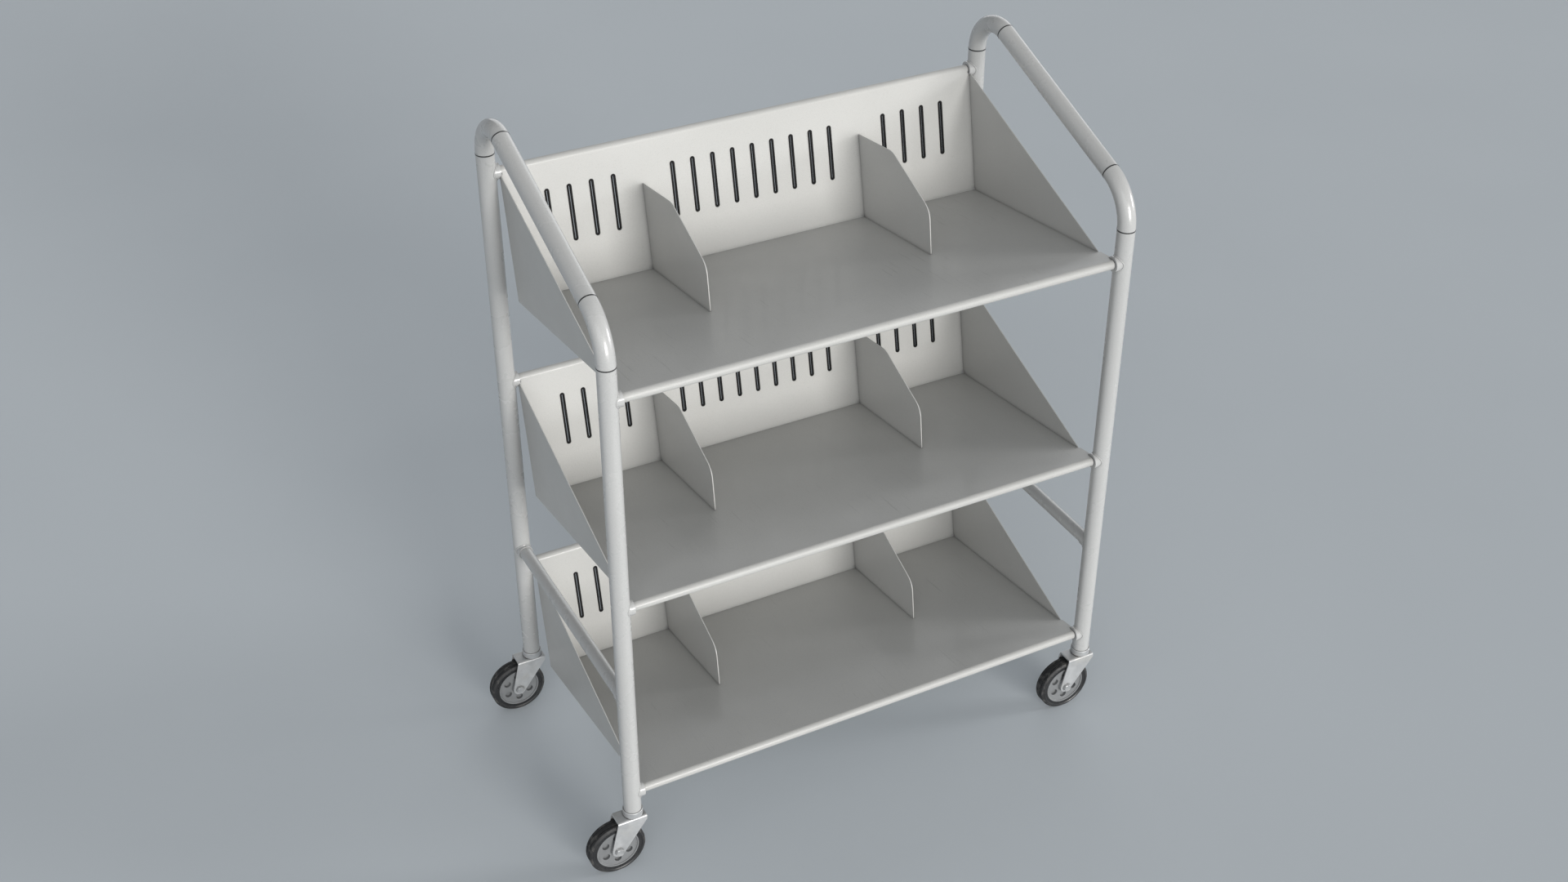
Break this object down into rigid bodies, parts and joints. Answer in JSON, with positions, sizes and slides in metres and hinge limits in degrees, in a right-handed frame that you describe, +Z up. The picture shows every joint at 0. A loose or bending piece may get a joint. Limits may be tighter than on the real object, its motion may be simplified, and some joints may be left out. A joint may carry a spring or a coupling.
{
  "type": "book cart",
  "caption": "Tubular steel book cart with sloping tiered shelves, slotted backs, fixed dividers and swivel casters.",
  "frame": {"origin": "on the ground, under the middle of the cart's overall length and depth", "axes": "+Z up, +X along the shelves to the user's right when facing the open front, -Y towards the open front"},
  "size_m": [0.995, 0.5, 1.191],
  "materials": {
    "frame_paint": "gloss powder coat, light grey",
    "shelf_paint": "satin powder coat, light warm grey",
    "rivet_steel": "satin powder coat over the rivet heads",
    "socket_steel": "plain steel, hidden in the post",
    "zinc_steel": "bright zinc plate",
    "bolt_steel": "zinc plated fastener",
    "wheel_plastic": "light grey moulded nylon",
    "tyre_rubber": "black rubber tread"
  },
  "bodies": {
    "cart_frame": {"left_side_frame": "frame_paint", "right_side_frame": "frame_paint", "left_stretcher": "frame_paint", "right_stretcher": "frame_paint", "left_weld_collars": "frame_paint", "right_weld_collars": "frame_paint", "lower_front_rail": "frame_paint", "lower_rear_rail": "frame_paint", "middle_front_rail": "frame_paint", "middle_rear_rail": "frame_paint", "upper_front_rail": "frame_paint", "upper_rear_rail": "frame_paint", "lower_shelf": "shelf_paint", "middle_shelf": "shelf_paint", "upper_shelf": "shelf_paint", "lower_left_divider": "shelf_paint", "lower_right_divider": "shelf_paint", "middle_left_divider": "shelf_paint", "middle_right_divider": "shelf_paint", "upper_left_divider": "shelf_paint", "upper_right_divider": "shelf_paint", "divider_rivets": "rivet_steel", "front_left_post_socket": "socket_steel", "front_left_swivel_stem": "zinc_steel", "front_left_swivel_collar": "zinc_steel", "front_right_post_socket": "socket_steel", "front_right_swivel_stem": "zinc_steel", "front_right_swivel_collar": "zinc_steel", "rear_left_post_socket": "socket_steel", "rear_left_swivel_stem": "zinc_steel", "rear_left_swivel_collar": "zinc_steel", "rear_right_post_socket": "socket_steel", "rear_right_swivel_stem": "zinc_steel", "rear_right_swivel_collar": "zinc_steel"},
    "front_left_fork_body": {"front_left_swivel_balls": "zinc_steel", "front_left_fork": "zinc_steel", "front_left_axle_bolt": "bolt_steel", "front_left_axle_nut": "bolt_steel"},
    "front_left_wheel_body": {"front_left_wheel": "wheel_plastic", "front_left_tyre": "tyre_rubber"},
    "front_right_fork_body": {"front_right_swivel_balls": "zinc_steel", "front_right_fork": "zinc_steel", "front_right_axle_bolt": "bolt_steel", "front_right_axle_nut": "bolt_steel"},
    "front_right_wheel_body": {"front_right_wheel": "wheel_plastic", "front_right_tyre": "tyre_rubber"},
    "rear_left_fork_body": {"rear_left_swivel_balls": "zinc_steel", "rear_left_fork": "zinc_steel", "rear_left_axle_bolt": "bolt_steel", "rear_left_axle_nut": "bolt_steel"},
    "rear_left_wheel_body": {"rear_left_wheel": "wheel_plastic", "rear_left_tyre": "tyre_rubber"},
    "rear_right_fork_body": {"rear_right_swivel_balls": "zinc_steel", "rear_right_fork": "zinc_steel", "rear_right_axle_bolt": "bolt_steel", "rear_right_axle_nut": "bolt_steel"},
    "rear_right_wheel_body": {"rear_right_wheel": "wheel_plastic", "rear_right_tyre": "tyre_rubber"}
  },
  "joints": [
    {"name": "front_left_swivel", "type": "hinge", "parent": "cart_frame", "child": "front_left_fork_body", "pos_m": [-0.4135, -0.228, 0.11], "axis": [0, 0, 1], "continuous": true},
    {"name": "front_left_wheel_spin", "type": "hinge", "parent": "front_left_fork_body", "child": "front_left_wheel_body", "pos_m": [-0.4475, -0.228, 0.05], "axis": [0, 1, 0], "continuous": true},
    {"name": "front_right_swivel", "type": "hinge", "parent": "cart_frame", "child": "front_right_fork_body", "pos_m": [0.4785, -0.228, 0.11], "axis": [0, 0, 1], "continuous": true},
    {"name": "front_right_wheel_spin", "type": "hinge", "parent": "front_right_fork_body", "child": "front_right_wheel_body", "pos_m": [0.4445, -0.228, 0.05], "axis": [0, 1, 0], "continuous": true},
    {"name": "rear_left_swivel", "type": "hinge", "parent": "cart_frame", "child": "rear_left_fork_body", "pos_m": [-0.4135, 0.228, 0.11], "axis": [0, 0, 1], "continuous": true},
    {"name": "rear_left_wheel_spin", "type": "hinge", "parent": "rear_left_fork_body", "child": "rear_left_wheel_body", "pos_m": [-0.4475, 0.228, 0.05], "axis": [0, 1, 0], "continuous": true},
    {"name": "rear_right_swivel", "type": "hinge", "parent": "cart_frame", "child": "rear_right_fork_body", "pos_m": [0.4785, 0.228, 0.11], "axis": [0, 0, 1], "continuous": true},
    {"name": "rear_right_wheel_spin", "type": "hinge", "parent": "rear_right_fork_body", "child": "rear_right_wheel_body", "pos_m": [0.4445, 0.228, 0.05], "axis": [0, 1, 0], "continuous": true}
  ]
}
